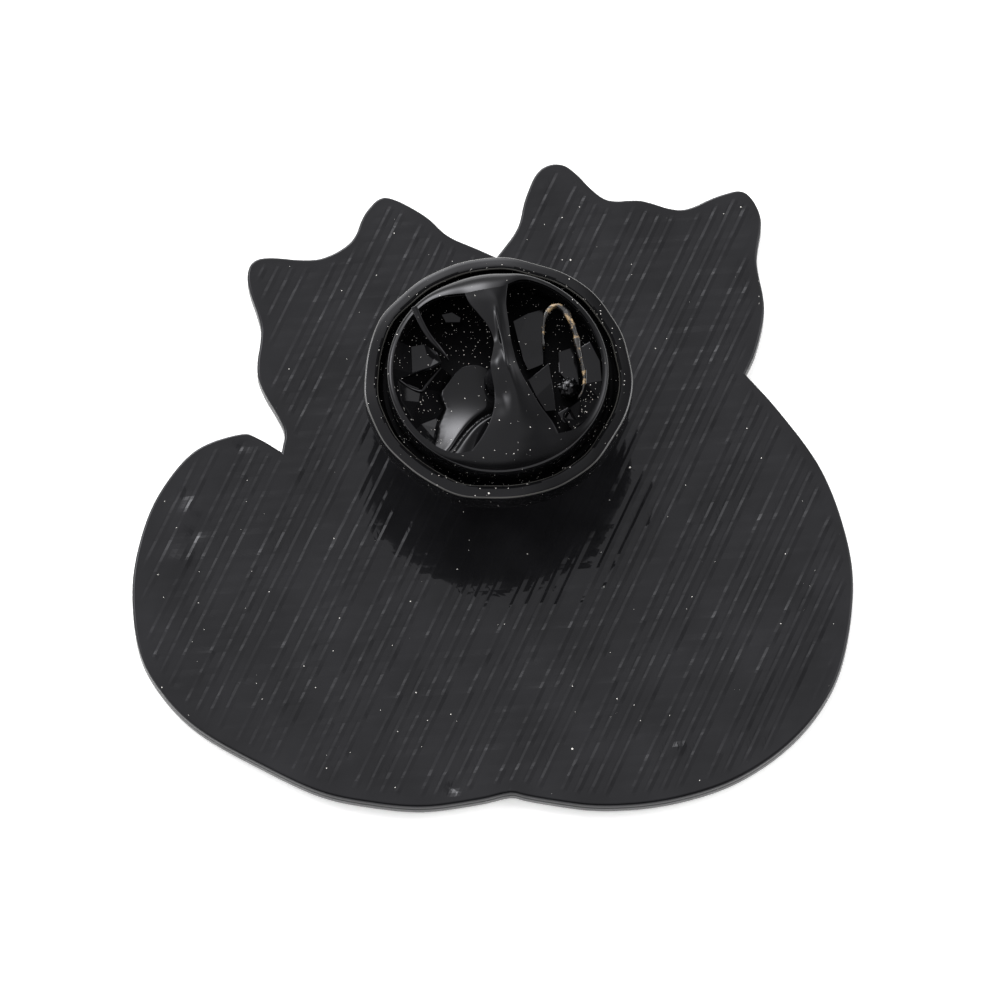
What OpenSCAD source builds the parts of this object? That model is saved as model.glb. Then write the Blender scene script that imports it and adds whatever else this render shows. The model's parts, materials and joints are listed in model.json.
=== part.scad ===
// Enamel pin: a black plated badge in the outline of two sitting cats, with a post and a butterfly clutch.
// Millimetres. The origin is on the post's axis at the back face of the badge. +Z runs out of the back
// along the post, +Y is up for the cats, and +X is to the right when the back is looked at.

/* [Badge] */
// Thickness of the metal body
plate_t = 0.8; // [0.75:0.05:1.2]
// Depth of the enamel pockets in the front
pocket_depth = 0.35; // [0.25:0.05:0.4]
// How far the enamel lies below the raised metal lines
enamel_recess = 0.1; // [0.05:0.01:0.15]
// Width of the raised metal line around an inner detail
line_w = 0.38; // [0.3:0.02:0.44]

/* [Post] */
// How far the post stands to the right of the outline's own middle line
post_shift = 0.07; // [0:0.01:0.2]
// Diameter of the post
post_d = 1.1; // [1.0:0.05:1.2]
// Length of the post from the back face to its tip
post_len = 5.6; // [5.4:0.1:5.8]
// Diameter at the bottom of the locking grooves
groove_d = 0.76; // [0.7:0.02:0.78]
// Diameter of the weld fillet around the foot of the post
fillet_d = 2.4; // [1.8:0.1:3.2]

/* [Clutch] */
// Outer diameter of the clutch
clutch_d = 11.5; // [11.3:0.1:11.9]
// Gap between the back face and the clutch
clutch_gap = 3.35; // [3.3:0.05:3.5]
// Height of the cup with its rolled rim
cup_h = 1.5; // [1.4:0.05:1.6]
// Sheet thickness of the cup
cup_t = 0.35; // [0.3:0.05:0.4]
// Diameter of the guide hole in the cup
guide_d = 1.6; // [1.5:0.05:1.8]
// Sheet thickness of the spring
spring_t = 0.3; // [0.25:0.05:0.35]
// Outer diameter of the spring's ring
ring_d = 9.4; // [9.2:0.1:9.6]
// Height of the ring's crown above the underside of the cup
ring_h = 2.3; // [2.2:0.05:2.5]
// Height of the bridge's crown above the underside of the cup
bridge_h = 2.9; // [2.8:0.05:3.1]
// Half of the angle that each wing's arc spans
wing_half_angle = 54; // [50:1:56]
// Clearance between pieces that move against each other
clearance = 0.1; // [0.08:0.01:0.12]

/* [Colours] */
// Enamel of the big cat's coat
big_coat = "darkorange"; // [darkorange, sandybrown, peru]
// Enamel of the small cat's coat
small_coat = "slategray"; // [slategray, lightslategray, dimgray]

/* [Hidden] */
$fn = 48;
plating = [0.07, 0.07, 0.08];
front_z = -plate_t;

// Steps between two points of a smooth curve.
outline_steps = 3;
cell_steps = 3;

// Post heights above the back face.
lower_groove = [3.05, 3.55];
jaw_groove = [4.0, 4.5];
point_start = 4.9;
point_d = 0.2;
fillet_h = 0.18;

// Cup details, measured from the axis or from the underside of the cup.
cup_r = clutch_d / 2;
band_r = 0.6;
lip_r = 0.28;
rim_inner_r = cup_r - 0.55;
guide_r = guide_d / 2;

// Spring details, measured from the axis or from the underside of the cup.
wall_r = ring_d / 2;
window_r = wall_r - 0.38;
crown_r = 0.35;
crown_drop = 0.03;
flange_r = rim_inner_r + clearance;
flange_z = cup_t + 0.27;
wing_foot_z = cup_t + 0.45;
jaw_root_x = window_r + 0.08;
jaw_tip_x = 0.15;
jaw_tip_z = 0.95;
jaw_hole_r = post_d / 2 + clearance;
bridge_root_r = wall_r - 0.25;
bridge_steps = 8;

// The badge's outline, from the notch between the two heads clockwise as the back is seen.
// Each row is smooth, and rows meet in a sharp corner.
OUTLINE = [
  // the big cat's head and ears
  [[0, 8.1], [0.9, 9.5], [1.25, 10.95], [1.9, 12.35], [3.05, 12.5], [4.65, 10.95], [6.25, 10.85],
   [8, 10.4], [9.55, 11.05], [10.75, 11.25], [11.45, 9.95], [11.25, 7.9], [11.55, 5.7],
   [11.2, 3.75], [10.7, 2.5]],
  // the big cat's body
  [[10.7, 2.5], [12.05, 0.85], [13.8, -1.8], [14.8, -4.6], [15.2, -7.4], [14.8, -10.6],
   [13.9, -12.9], [12.25, -14.95], [9.95, -16.55], [7.2, -17.45], [4.5, -17.7], [2.35, -17.45],
   [0.6, -17.1]],
  // the small cat's body and tail
  [[0.6, -17.1], [-0.9, -17.45], [-3.1, -17.75], [-5.3, -17.55], [-7.45, -17.05], [-9.85, -15.85],
   [-12.55, -14.2], [-14.2, -12.45], [-15.2, -10.4], [-15.5, -7.4], [-15, -4.6], [-14.1, -2.6],
   [-12.8, -1.05], [-11, -0.35], [-10.2, -0.55], [-9.2, -1.2]],
  // the small cat's head and ears
  [[-9.2, -1.2], [-9.15, 0], [-10.25, 2.35], [-10.15, 4.7], [-10.75, 7], [-10.2, 8.05], [-7.8, 8],
   [-6.3, 8.85], [-5.7, 10.2], [-4.8, 11], [-3.15, 10.15], [-2.1, 9.15], [-0.8, 8.5], [0, 8.1]],
];

// Smooth closed outlines of the large enamel fields.
BIG_FACE = [[0.5, 5.8], [0.95, 7.9], [1.85, 9.3], [2.0, 10.9], [2.6, 11.45], [4.2, 10.1], [6.1, 9.95],
            [8.1, 9.6], [9.8, 10.25], [10.4, 9.5], [10.3, 7.9], [10.55, 5.7], [10.1, 3.6], [8.6, 2.0],
            [5.9, 1.3], [3.0, 1.9], [1.2, 3.5]];
SMALL_FACE = [[-9.35, 2.5], [-9.4, 4.7], [-9.9, 6.5], [-9.4, 7.15], [-7.6, 7.1], [-5.6, 7.9], [-4.95, 9.8],
              [-3.6, 9.3], [-2.5, 8.15], [-0.9, 7.2], [-0.1, 5.5], [-0.15, 3.4], [-0.9, 1.5], [-2.5, 0],
              [-5.0, -0.7], [-7.4, -0.3], [-8.8, 0.9]];
BIG_BODY = [[9.9, 1.5], [11.5, 0.3], [13.1, -2.1], [14.1, -4.8], [14.4, -7.4], [14.1, -10.3], [13.1, -12.4],
            [11.6, -14.1], [9.5, -15.6], [7.0, -16.5], [4.5, -16.8], [2.2, -16.5], [0.85, -15.3],
            [0.55, -12], [0.55, -8], [0.6, -3], [0.75, 0.3], [1.5, 1.7], [3.4, 1.1], [5.9, 0.75], [8.3, 1.15]];
SMALL_BODY = [[-0.35, 0.2], [-0.05, -3], [-0.05, -8], [-0.1, -12], [-0.9, -14.5], [-3.2, -15.0],
              [-5.3, -14.6], [-7.4, -13.2], [-9.2, -11], [-9.9, -8.4], [-9.7, -5.5], [-8.9, -3.2],
              [-8.2, -1.3], [-7.0, -1.0], [-5.0, -1.25], [-2.5, -0.75]];
TAIL = [[-14.1, -4.9], [-14.9, -7.4], [-14.6, -10.2], [-13.8, -12.1], [-12.2, -13.5], [-9.4, -15.2],
        [-7.2, -16.4], [-5.2, -16.95], [-3.0, -17.05], [-0.9, -16.7], [-0.9, -15.5], [-3.2, -15.5],
        [-5.6, -15.1], [-7.8, -13.6], [-9.7, -11.4], [-10.5, -8.4], [-10.3, -5.6], [-12.0, -4.7]];
TAIL_TIP = [[-9.75, -3.0], [-9.6, -1.8], [-10.9, -1.1], [-12.4, -1.8], [-13.4, -3.1], [-13.7, -4.2],
            [-12.0, -4.2], [-10.2, -4.9]];

// Round and oval details: [centre, half sizes, turn in degrees].
BIG_EYES = [[[3.7, 5.3], [0.62, 0.8], 0], [[8.1, 5.3], [0.62, 0.8], 0]];
SMALL_EYES = [[[-7.1, 3.3], [0.58, 0.74], 0], [[-3.1, 3.3], [0.58, 0.74], 0]];
OVALS = [
  ["big_cat_left_muzzle", "white", [[4.8, 3.2], [0.92, 0.75], 0]],
  ["big_cat_right_muzzle", "white", [[7.0, 3.2], [0.92, 0.75], 0]],
  ["big_cat_nose", "lightpink", [[5.9, 4.45], [0.5, 0.36], 0]],
  ["big_cat_left_cheek", "lightpink", [[2.75, 3.75], [0.65, 0.45], 0]],
  ["big_cat_right_cheek", "lightpink", [[8.85, 3.75], [0.6, 0.45], 0]],
  ["big_cat_left_ear", "lightpink", [[2.95, 9.9], [0.34, 0.55], 12]],
  ["big_cat_right_ear", "lightpink", [[9.3, 9.0], [0.3, 0.45], -25]],
  ["big_cat_left_brow_stripe", "saddlebrown", [[4.75, 8.1], [0.35, 0.85], -8]],
  ["big_cat_middle_brow_stripe", "saddlebrown", [[6.0, 8.0], [0.35, 1.05], 0]],
  ["big_cat_right_brow_stripe", "saddlebrown", [[7.25, 8.1], [0.35, 0.85], 8]],
  ["big_cat_chest", "ivory", [[5.2, -3.6], [2.3, 3.6], 0]],
  ["big_cat_left_paw", "ivory", [[3.3, -14.5], [1.6, 1.15], 0]],
  ["big_cat_right_paw", "ivory", [[6.9, -14.5], [1.6, 1.15], 0]],
  ["big_cat_upper_side_stripe", "saddlebrown", [[11.2, -3.6], [1.7, 0.42], -18]],
  ["big_cat_middle_side_stripe", "saddlebrown", [[11.8, -6.6], [1.7, 0.42], -8]],
  ["big_cat_lower_side_stripe", "saddlebrown", [[11.7, -9.6], [1.7, 0.42], 4]],
  ["small_cat_left_muzzle", "white", [[-6.05, 1.35], [0.8, 0.66], 0]],
  ["small_cat_right_muzzle", "white", [[-4.15, 1.35], [0.8, 0.66], 0]],
  ["small_cat_nose", "lightpink", [[-5.1, 2.5], [0.46, 0.33], 0]],
  ["small_cat_left_cheek", "lightpink", [[-7.75, 1.85], [0.55, 0.4], 0]],
  ["small_cat_right_cheek", "lightpink", [[-2.4, 1.85], [0.55, 0.4], 0]],
  ["small_cat_left_ear", "lightpink", [[-8.7, 6.0], [0.3, 0.45], 35]],
  ["small_cat_right_ear", "lightpink", [[-4.35, 8.35], [0.34, 0.5], -12]],
  ["small_cat_forehead_patch", "white", [[-5.2, 5.8], [0.9, 0.65], 0]],
  ["small_cat_chest", "ivory", [[-4.6, -4.9], [2.0, 2.9], 0]],
  ["small_cat_left_paw", "ivory", [[-5.7, -12.2], [1.4, 1.0], 0]],
  ["small_cat_right_paw", "ivory", [[-2.4, -12.6], [1.4, 1.0], 0]],
];
FIELDS = [
  ["big_cat_face", big_coat, BIG_FACE],
  ["big_cat_body", big_coat, BIG_BODY],
  ["small_cat_face", small_coat, SMALL_FACE],
  ["small_cat_body", small_coat, SMALL_BODY],
  ["small_cat_tail", small_coat, TAIL],
  ["small_cat_tail_tip", "ivory", TAIL_TIP],
];

METAL = ["badge_body", "post", "weld_fillet", "clutch_cup", "spring_bridge", "left_wing", "right_wing"];

// One point of a smooth curve through b and c, at share t of the way from b to c.
function between(a, b, c, d, t) =
  0.5 * (2 * b + (c - a) * t + (2 * a - 5 * b + 4 * c - d) * t * t + (3 * b - a - 3 * c + d) * t * t * t);

// A smooth open curve through the points, without its last point.
function stretch(p, steps) =
  let (n = len(p), q = concat([2 * p[0] - p[1]], p, [2 * p[n - 1] - p[n - 2]]))
  [for (i = [0 : n - 2]) for (s = [0 : steps - 1]) between(q[i], q[i + 1], q[i + 2], q[i + 3], s / steps)];

// A smooth closed curve through the points.
function loop(p, steps) =
  let (n = len(p))
  [for (i = [0 : n - 1]) for (s = [0 : steps - 1])
    between(p[(i + n - 1) % n], p[i], p[(i + 1) % n], p[(i + 2) % n], s / steps)];

// The points of an oval, made larger by grow.
function oval_points(oval, grow = 0) =
  let (c = oval[0], r = oval[1], turn = oval[2], n = 24)
  [for (i = [0 : n - 1]) let (x = (r[0] + grow) * cos(360 * i / n), y = (r[1] + grow) * sin(360 * i / n))
    c + [x * cos(turn) - y * sin(turn), x * sin(turn) + y * cos(turn)]];

// Points along an arc of radius r, from angle a0 to a1.
function arc(c, r, a0, a1, n = 5) =
  [for (i = [0 : n]) let (a = a0 + (a1 - a0) * i / n) c + r * [cos(a), sin(a)]];

module oval(o, grow = 0) {
  polygon(oval_points(o, grow));
}

// A large enamel field, with islands of metal line around the details inside it.
module field(points) {
  difference() {
    polygon(loop(points, cell_steps));
    for (o = OVALS) oval(o[2], line_w);
    for (eye = concat(BIG_EYES, SMALL_EYES)) oval(eye);
  }
}

module badge_body() {
  color(plating)
  difference() {
    translate([-post_shift, 0, front_z]) linear_extrude(plate_t)
      polygon([for (s = OUTLINE) each stretch(s, outline_steps)]);
    for (f = FIELDS) pocket() field(f[2]);
    for (o = OVALS) pocket() oval(o[2]);
  }
}

module pocket() {
  translate([-post_shift, 0, front_z - 1]) linear_extrude(pocket_depth + 1) children();
}

// An enamel fill: it covers the floor of its pocket and stops short of the raised lines.
module enamel() {
  translate([-post_shift, 0, front_z + enamel_recess])
    linear_extrude(pocket_depth - enamel_recess) children();
}

module post() {
  r = post_d / 2;
  color(plating)
  difference() {
    union() {
      cylinder(r = r, h = point_start);
      translate([0, 0, point_start]) cylinder(r1 = r, r2 = point_d / 2, h = post_len - point_start);
    }
    for (g = [lower_groove, jaw_groove]) ring_cut(groove_d / 2, r + 1, g[0], g[1]);
  }
}

// A groove cut between two heights.
module ring_cut(r_in, r_out, z0, z1) {
  translate([0, 0, z0]) difference() {
    cylinder(r = r_out, h = z1 - z0);
    translate([0, 0, -1]) cylinder(r = r_in, h = z1 - z0 + 2);
  }
}

module weld_fillet() {
  color(plating)
  difference() {
    cylinder(r1 = fillet_d / 2, r2 = post_d / 2 + 0.15, h = fillet_h);
    translate([0, 0, -1]) cylinder(r = post_d / 2, h = fillet_h + 2);
  }
}

// The cup: a floor with a flared guide hole, and a round band with a lip rolled in over the spring's flange.
module clutch_cup() {
  inner = cup_r - cup_t;
  profile = concat(
    [[guide_r, 0.2], [guide_r + 0.35, 0]],
    arc([cup_r - band_r, band_r], band_r, -90, 0),
    arc([cup_r - lip_r, cup_h - lip_r], lip_r, 0, 90),
    arc([rim_inner_r + lip_r / 2, cup_h - lip_r / 2], lip_r / 2, 90, 180),
    [[rim_inner_r, cup_h - 0.4], [inner, cup_h - 0.45], [inner, cup_t + 0.3], [inner - 0.3, cup_t]],
    [[guide_r + 0.45, cup_t], [guide_r, cup_t + 0.12]]
  );
  color(plating)
  translate([0, 0, clutch_gap]) rotate_extrude() polygon(profile);
}

// The ring's wall with its round crown, cut from the spring sheet.
function ring_section(foot_z) =
  let (edge_z = ring_h - crown_drop, c = [wall_r - crown_r, ring_h - crown_r])
  concat(
    [[wall_r - spring_t, foot_z], [wall_r, foot_z]],
    arc(c, crown_r, 0, 90),
    [[window_r, edge_z], [window_r, edge_z - spring_t]],
    arc(c, crown_r - spring_t, 90, 0)
  );

// Part of a full turn of a section, centred on an angle.
module turned(section, middle, half) {
  rotate([0, 0, middle - half]) rotate_extrude(angle = 2 * half) polygon(section);
}

// One side of the hourglass bridge in plan, from beyond its far end to beyond its near end.
function bridge_side() =
  stretch([[0.95, 4.7], [0.85, 4.1], [0.62, 2.6], [0.5, 0.4], [0.8, -1.6], [1.5, -3.1], [2.1, -4.1],
           [2.3, -4.7], [2.3, -4.8]], 4);

// The arched line of the bridge, lowered by drop. It is level outside the ring's window.
function bridge_line(drop) =
  let (edge_z = ring_h - crown_drop, rise = bridge_h - ring_h)
  concat(
    [[-wall_r, edge_z - drop]],
    [for (i = [-bridge_steps : bridge_steps]) let (share = i / bridge_steps)
      [window_r * share, edge_z + rise * pow(cos(90 * share), 0.8) - drop]],
    [[wall_r, edge_z - drop]]
  );

// The same points in the other order.
function backwards(p) = [for (i = [len(p) - 1 : -1 : 0]) p[i]];

// The hourglass bridge with the two arcs that join it, and the flange under them that the rim holds.
module spring_bridge() {
  half = 90 - wing_half_angle - 1.5;
  inner = wall_r - spring_t;
  flange_top = flange_z + spring_t;
  flange = [[inner, flange_z], [flange_r, flange_z], [flange_r, flange_top], [inner, flange_top]];
  side = bridge_side();
  other_side = [for (p = backwards(side)) [-p[0], p[1]]];
  color(plating)
  translate([0, 0, clutch_gap]) {
    for (end = [90, 270]) {
      turned(ring_section(flange_z), end, half);
      turned(flange, end, half);
    }
    intersection() {
      cylinder(r = bridge_root_r, h = bridge_h);
      linear_extrude(bridge_h) polygon(concat(side, other_side));
      rotate([90, 0, 90]) translate([0, 0, -wall_r]) linear_extrude(ring_d)
        polygon(concat(bridge_line(0), backwards(bridge_line(spring_t))));
    }
  }
}

// A wing: one side arc of the ring, with the jaw that folds down inside it to the post.
module wing(side) {
  upper = [[jaw_root_x, ring_h - crown_drop], [2.9, 1.95], [1.9, 1.5], [1.1, 1.1], [jaw_tip_x, jaw_tip_z]];
  lower = [for (p = backwards(upper)) p - [0, spring_t]];
  plan = [[jaw_root_x, -2.5], [jaw_root_x, 2.5], [2.4, 1.9], [jaw_tip_x, 1.0], [jaw_tip_x, -1.0],
          [2.4, -1.9]];
  color(plating)
  translate([0, 0, clutch_gap]) rotate([0, 0, side > 0 ? 0 : 180]) {
    turned(ring_section(wing_foot_z), 0, wing_half_angle);
    difference() {
      intersection() {
        rotate([90, 0, 0]) translate([0, 0, -4]) linear_extrude(8) polygon(concat(upper, lower));
        linear_extrude(ring_h + 1) polygon(plan);
        cylinder(r = jaw_root_x, h = ring_h + 1);
      }
      cylinder(r = jaw_hole_r, h = ring_h);
    }
  }
}

module left_wing() {
  wing(-1);
}

module right_wing() {
  wing(1);
}

badge_body();
post();
weld_fillet();
clutch_cup();
spring_bridge();
left_wing();
right_wing();
for (f = FIELDS) color(f[1]) enamel() field(f[2]);
for (o = OVALS) color(o[1]) enamel() oval(o[2]);
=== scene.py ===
import json
import math

import bmesh
import bpy
import numpy as np
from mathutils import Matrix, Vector
from mathutils.geometry import delaunay_2d_cdt


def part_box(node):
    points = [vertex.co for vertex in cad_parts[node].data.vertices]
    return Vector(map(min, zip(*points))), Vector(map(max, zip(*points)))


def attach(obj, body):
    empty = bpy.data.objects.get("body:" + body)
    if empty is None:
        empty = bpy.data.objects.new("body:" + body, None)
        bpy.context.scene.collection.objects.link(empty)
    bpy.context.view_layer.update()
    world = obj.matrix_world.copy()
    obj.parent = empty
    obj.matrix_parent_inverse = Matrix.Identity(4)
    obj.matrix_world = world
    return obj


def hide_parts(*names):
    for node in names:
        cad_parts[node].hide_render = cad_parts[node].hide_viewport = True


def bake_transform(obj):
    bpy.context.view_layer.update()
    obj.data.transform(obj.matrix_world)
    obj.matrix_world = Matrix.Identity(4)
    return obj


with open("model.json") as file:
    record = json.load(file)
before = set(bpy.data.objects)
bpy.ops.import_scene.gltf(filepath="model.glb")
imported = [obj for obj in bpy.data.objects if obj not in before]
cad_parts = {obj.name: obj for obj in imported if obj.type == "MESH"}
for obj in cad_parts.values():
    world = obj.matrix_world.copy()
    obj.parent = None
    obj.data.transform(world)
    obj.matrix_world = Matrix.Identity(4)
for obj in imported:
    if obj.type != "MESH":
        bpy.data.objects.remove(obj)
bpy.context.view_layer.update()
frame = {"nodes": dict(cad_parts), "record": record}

# An enamel pin seen from the back: a black plated badge, its post and a butterfly clutch.
# All shapes are laid out in millimetres, in the CAD frame, and Shape.build turns them into metres.

MM = 0.001
rng = np.random.default_rng(11)


def box_mm(node):
    """Lowest and highest corners of a CAD node in millimetres."""
    low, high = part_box(node)
    return np.array(low) / MM, np.array(high) / MM


BADGE_LOW, BADGE_HIGH = box_mm("badge_body")
CUP_LOW, CUP_HIGH = box_mm("clutch_cup")
POST_HIGH = box_mm("post")[1]
FILLET_HIGH = box_mm("weld_fillet")[1]
BACK_Z, FRONT_Z = BADGE_HIGH[2], BADGE_LOW[2]
ENAMEL_Z = box_mm("big_cat_face")[0][2]
POCKET_Z = box_mm("big_cat_face")[1][2]
CUP_Z = CUP_LOW[2]
CUP_R = CUP_HIGH[0]


# -------- small geometry helpers

def smoothstep(x, a, b):
    t = np.clip((np.asarray(x, float) - a) / (b - a), 0, 1)
    return t * t * (3 - 2 * t)


def flat_loops(node, z):
    """The closed boundary loops of a CAD node's flat face at height z, each an (n, 2) array in mm."""
    mesh = frame["nodes"][node].data
    co = [(v.co / MM) for v in mesh.vertices]
    follows = {}
    for poly in mesh.polygons:
        pts = [co[i] for i in poly.vertices]
        if all(abs(p.z - z) < 2e-3 for p in pts):
            keys = [(round(p.x, 3), round(p.y, 3)) for p in pts]
            for a, b in zip(keys, keys[1:] + keys[:1]):
                if a in follows.get(b, ()):
                    follows[b].remove(a)
                else:
                    follows.setdefault(a, []).append(b)
    follows = {a: bs for a, bs in follows.items() if bs}
    loops = []
    while follows:
        start = min(follows)
        loop, at = [start], start
        while True:
            nxt = follows[at].pop()
            if not follows[at]:
                del follows[at]
            if nxt == start:
                break
            loop.append(nxt)
            at = nxt
        loop = np.array(loop)
        loops.append(loop if area(loop) > 0 else loop[::-1])
    return sorted(loops, key=lambda p: -abs(area(p)))


def area(loop):
    x, y = loop[:, 0], loop[:, 1]
    return 0.5 * float(np.sum(x * np.roll(y, -1) - np.roll(x, -1) * y))


def catmull(a, b, c, d, t):
    """The point at t, from 0 to 1, on the smooth curve from b to c with neighbours a and d."""
    return 0.5 * (2 * b + (c - a) * t + (2 * a - 5 * b + 4 * c - d) * t * t + (3 * b - a - 3 * c + d) * t ** 3)


def smooth_loop(p, parts, corner=38):
    """A closed loop with parts points a side, smooth except at its sharp corners."""
    before, after = p - np.roll(p, 1, 0), np.roll(p, -1, 0) - p
    turn = np.degrees(np.abs(np.arctan2(
        before[:, 0] * after[:, 1] - before[:, 1] * after[:, 0], (before * after).sum(1))))
    sharp = turn > corner
    n, out = len(p), []
    for i in range(n):
        a, b, c, d = p[i - 1], p[i], p[(i + 1) % n], p[(i + 2) % n]
        if sharp[i]:
            a = 2 * b - c
        if sharp[(i + 1) % n]:
            d = 2 * c - b
        out += [catmull(a, b, c, d, s / parts) for s in range(parts)]
    return np.array(out)


def split_long(p, step):
    """The loop with its long sides divided so that none is longer than step."""
    out = []
    for a, b in zip(p, np.roll(p, -1, 0)):
        parts = max(1, math.ceil(np.linalg.norm(b - a) / step))
        out += [a + (b - a) * k / parts for k in range(parts)]
    return np.array(out)


def offset(p, d):
    """The loop moved d to its left, which is inwards on a loop that runs anticlockwise."""
    before, after = p - np.roll(p, 1, 0), np.roll(p, -1, 0) - p
    before /= np.linalg.norm(before, axis=1)[:, None]
    after /= np.linalg.norm(after, axis=1)[:, None]
    normal = before + after
    normal = np.stack([-normal[:, 1], normal[:, 0]], 1)
    normal /= np.maximum(np.linalg.norm(normal, axis=1)[:, None], 1e-6)
    side = np.stack([-after[:, 1], after[:, 0]], 1)
    stretch = 1 / np.clip((normal * side).sum(1), 0.55, 1)
    return p + normal * (d * stretch)[:, None]


def inside(points, loops):
    """Which points lie inside an odd number of the loops."""
    odd = np.zeros(len(points), bool)
    for loop in loops:
        a, b = loop, np.roll(loop, -1, 0)
        for (ax, ay), (bx, by) in zip(a, b):
            if ay == by:
                continue
            hit = (points[:, 1] > min(ay, by)) & (points[:, 1] <= max(ay, by))
            odd ^= hit & (points[:, 0] < ax + (points[:, 1] - ay) * (bx - ax) / (by - ay))
    return odd


def distance(points, loops):
    """Distance of each point to the nearest side of the loops."""
    best = np.full(len(points), 1e9)
    for loop in loops:
        for a, b in zip(loop, np.roll(loop, -1, 0)):
            ab = b - a
            t = np.clip(((points - a) @ ab) / max(ab @ ab, 1e-12), 0, 1)
            best = np.minimum(best, np.hypot(*(points - a - t[:, None] * ab).T))
    return best


def linked(name, data):
    """A new object in the scene."""
    obj = bpy.data.objects.new(name, data)
    bpy.context.scene.collection.objects.link(obj)
    return obj


def shade(mesh, smooth=True):
    mesh.polygons.foreach_set("use_smooth", [smooth] * len(mesh.polygons))


class Shape:
    """Collects vertices and faces in mm."""

    def __init__(self):
        self.v, self.f = [], []

    def add(self, points):
        start = len(self.v)
        self.v.extend(tuple(map(float, p)) for p in points)
        return list(range(start, start + len(points)))

    def ring(self, loop, z):
        return self.add([(x, y, z) for x, y in loop])

    def wall(self, a, b):
        """Quads between two closed rows of the same length."""
        n = len(a)
        self.f += [(a[i], a[(i + 1) % n], b[(i + 1) % n], b[i]) for i in range(n)]

    def walls(self, rows):
        for a, b in zip(rows, rows[1:]):
            self.wall(a, b)

    def fan(self, row, centre=None):
        """Triangles from a closed row to its centre."""
        if centre is None:
            centre = np.mean([self.v[i] for i in row], axis=0)
        middle = self.add([centre])[0]
        self.f += [(row[i], row[(i + 1) % len(row)], middle) for i in range(len(row))]

    def strip(self, a, b):
        """Quads between two open rows of the same length."""
        self.f += [(a[i], a[i + 1], b[i + 1], b[i]) for i in range(len(a) - 1)]

    def cap(self, rows, extra=(), up=True, lines=()):
        """Triangles over the area between closed rows of vertices, with extra (x, y, z) points inside it.
        lines are pairs of extra points that an edge joins."""
        ids = [i for row in rows for i in row] + self.add(extra)
        flat = [Vector(self.v[i][:2]) for i in ids]
        edges, start = [], 0
        for row in rows:
            n = len(row)
            edges += [(start + i, start + (i + 1) % n) for i in range(n)]
            start += n
        edges += [(start + int(a), start + int(b)) for a, b in lines]
        verts, _, tris, origin, _, _ = delaunay_2d_cdt(flat, edges, [], 0, 1e-7)
        names = [ids[o[0]] if o else None for o in origin]
        for k, name in enumerate(names):
            if name is None:
                names[k] = self.add([(verts[k].x, verts[k].y, self.v[ids[0]][2])])[0]
        loops = [np.array([self.v[i][:2] for i in row]) for row in rows]
        flat = np.array([v[:] for v in verts])
        middle = np.array([flat[list(t)].mean(0) for t in tris])
        keep = inside(middle, loops)
        for t, k in zip(tris, keep):
            if k:
                a, b, c = (flat[i] for i in t)
                ccw = (b[0] - a[0]) * (c[1] - a[1]) - (b[1] - a[1]) * (c[0] - a[0]) > 0
                t = [names[i] for i in t]
                self.f.append(tuple(t if ccw == up else t[::-1]))

    def build(self, name, material):
        mesh = bpy.data.meshes.new(name)
        mesh.from_pydata((np.array(self.v) * MM).tolist(), [], self.f)
        mesh.validate()
        mesh.update()
        shade(mesh)
        mesh.materials.append(material)
        return linked(name, mesh)


def turn_faces(obj, up=False):
    """Every face of a solid looks out, or with up every face of an open sheet looks up."""
    bm = bmesh.new()
    bm.from_mesh(obj.data)
    if up:
        bm.normal_update()
        bmesh.ops.reverse_faces(bm, faces=[f for f in bm.faces if f.normal.z < 0])
    else:
        bmesh.ops.recalc_face_normals(bm, faces=bm.faces)
    bm.to_mesh(obj.data)
    bm.free()


def finish_piece(obj, body, nodes):
    turn_faces(obj)
    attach(obj, body)
    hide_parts(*nodes)
    return obj


# -------- materials

def put(tree, socket, value):
    """Joins a socket to another one, or sets its constant."""
    if isinstance(value, bpy.types.NodeSocket):
        tree.links.new(value, socket)
    else:
        socket.default_value = value


def add_node(tree, kind, inputs=None, **facts):
    node = tree.nodes.new(kind)
    for key, value in facts.items():
        setattr(node, key, value)
    for key, value in (inputs or {}).items():
        put(tree, node.inputs[key], value)
    return node


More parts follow.
